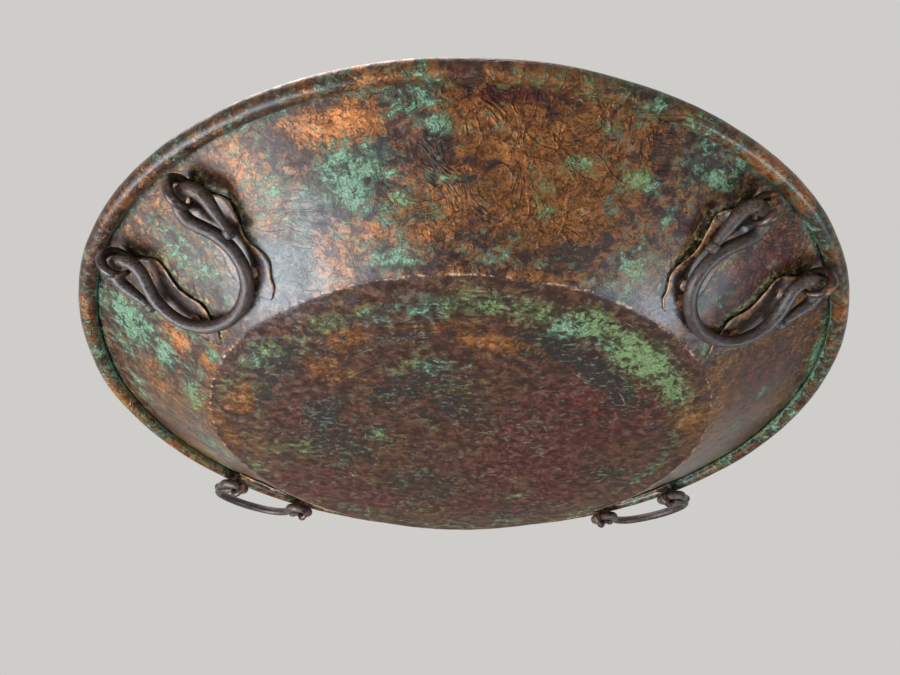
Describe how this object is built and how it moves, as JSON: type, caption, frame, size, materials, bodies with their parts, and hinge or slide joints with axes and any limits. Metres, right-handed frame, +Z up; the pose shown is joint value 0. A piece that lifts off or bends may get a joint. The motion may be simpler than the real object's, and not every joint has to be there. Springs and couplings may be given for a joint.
{
  "type": "bowl",
  "caption": "Wide, shallow hammered copper bowl with a rolled rim and forged iron bail handles that swing in eyes riveted to its wall.",
  "frame": {"origin": "middle of the flat disc that the bowl stands on, the bottom centre of its box", "axes": "+Z up out of the mouth; the front handles, tucked against the wall, are towards -Y; +X is to the right seen from the front"},
  "size_m": [0.66, 0.66, 0.0615],
  "materials": {
    "copper": "hammered copper, aged brown with green verdigris",
    "wire": "plain drawn iron wire, hidden in the rolled rim",
    "strap_iron": "forged, dark, rusty along the edges",
    "rivet_iron": "hammered heads, rusty",
    "handle_iron": "forged round bar, dark and rubbed smooth"
  },
  "bodies": {
    "bowl": {"bowl_shell": "copper", "rim_wire": "wire", "strap_front_left_1": "strap_iron", "strap_front_left_2": "strap_iron", "strap_front_right_1": "strap_iron", "strap_front_right_2": "strap_iron", "strap_back_right_1": "strap_iron", "strap_back_right_2": "strap_iron", "strap_back_left_1": "strap_iron", "strap_back_left_2": "strap_iron", "rivet_front_left_1_upper": "rivet_iron", "rivet_front_left_1_lower": "rivet_iron", "rivet_front_left_2_upper": "rivet_iron", "rivet_front_left_2_lower": "rivet_iron", "rivet_front_right_1_upper": "rivet_iron", "rivet_front_right_1_lower": "rivet_iron", "rivet_front_right_2_upper": "rivet_iron", "rivet_front_right_2_lower": "rivet_iron", "rivet_back_right_1_upper": "rivet_iron", "rivet_back_right_1_lower": "rivet_iron", "rivet_back_right_2_upper": "rivet_iron", "rivet_back_right_2_lower": "rivet_iron", "rivet_back_left_1_upper": "rivet_iron", "rivet_back_left_1_lower": "rivet_iron", "rivet_back_left_2_upper": "rivet_iron", "rivet_back_left_2_lower": "rivet_iron"},
    "bail_front_left": {"handle_front_left": "handle_iron"},
    "bail_front_right": {"handle_front_right": "handle_iron"},
    "bail_back_right": {"handle_back_right": "handle_iron"},
    "bail_back_left": {"handle_back_left": "handle_iron"}
  },
  "joints": [
    {"name": "swing_front_left", "type": "hinge", "parent": "bowl", "child": "bail_front_left", "pos_m": [-0.21477, -0.21477, 0.03701], "axis": [-0.7071, 0.7071, 0], "range_deg": [0, 173.5]},
    {"name": "swing_front_right", "type": "hinge", "parent": "bowl", "child": "bail_front_right", "pos_m": [0.21477, -0.21477, 0.03701], "axis": [-0.7071, -0.7071, 0], "range_deg": [0, 173.5]},
    {"name": "swing_back_right", "type": "hinge", "parent": "bowl", "child": "bail_back_right", "pos_m": [0.21477, 0.21477, 0.03701], "axis": [0.7071, -0.7071, 0], "range_deg": [-168.2, 5.3]},
    {"name": "swing_back_left", "type": "hinge", "parent": "bowl", "child": "bail_back_left", "pos_m": [-0.21477, 0.21477, 0.03701], "axis": [0.7071, 0.7071, 0], "range_deg": [-168.2, 5.3]}
  ]
}
